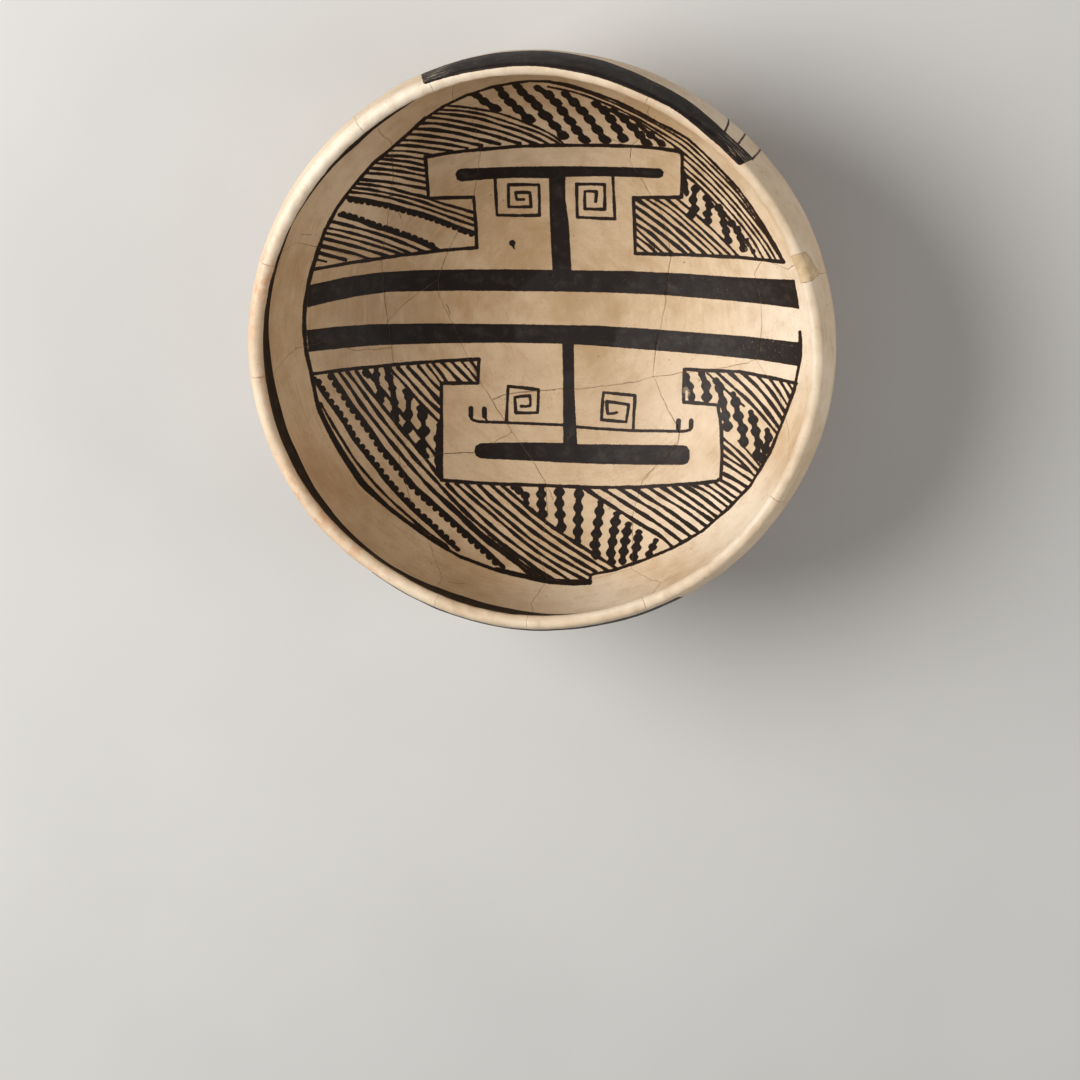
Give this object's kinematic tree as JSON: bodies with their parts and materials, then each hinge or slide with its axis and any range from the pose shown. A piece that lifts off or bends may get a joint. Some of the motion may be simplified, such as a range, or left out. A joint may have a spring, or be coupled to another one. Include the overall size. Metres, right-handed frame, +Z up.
{
  "type": "painted pottery bowl",
  "caption": "Deep hand-built pottery bowl with an incurved wavy rim and dark painted bands and hatched field on cream slip, reassembled from sherds.",
  "frame": {"origin": "middle of the bounding box at the surface the bowl stands on, under the worn flat of the base", "axes": "+Z up out of the mouth; +Y away from the viewer of the picture's lower picture, +X to that viewer's right"},
  "size_m": [0.246, 0.2504, 0.1027],
  "materials": {
    "clay": "low-fired clay with cream slip, stone-polished to a soft sheen, dark brown mineral paint",
    "fill": "matt plaster restoration",
    "adhesive": "aged clear conservation adhesive"
  },
  "bodies": {
    "root": {"base_sherd": "clay", "back_rim_sherd": "clay", "back_left_sherd": "clay", "left_rear_rim_sherd": "clay", "left_rim_sherd": "clay", "front_left_rim_sherd": "clay", "inner_left_sherd": "clay", "front_sherd": "clay", "inner_front_sherd": "clay", "front_rim_sherd": "clay", "front_right_sherd": "clay", "right_rim_sherd": "clay", "inner_right_sherd": "clay", "back_right_rim_sherd": "clay", "rim_fill": "fill", "adhesive_west": "adhesive", "adhesive_middle": "adhesive", "adhesive_east": "adhesive", "adhesive_base_front": "adhesive", "adhesive_right_front": "adhesive", "adhesive_right_back": "adhesive", "adhesive_left_back": "adhesive", "adhesive_left": "adhesive", "adhesive_inner_left": "adhesive", "adhesive_base_back": "adhesive", "adhesive_right_upper": "adhesive", "adhesive_front_lower": "adhesive", "adhesive_small_upper": "adhesive"}
  },
  "joints": []
}
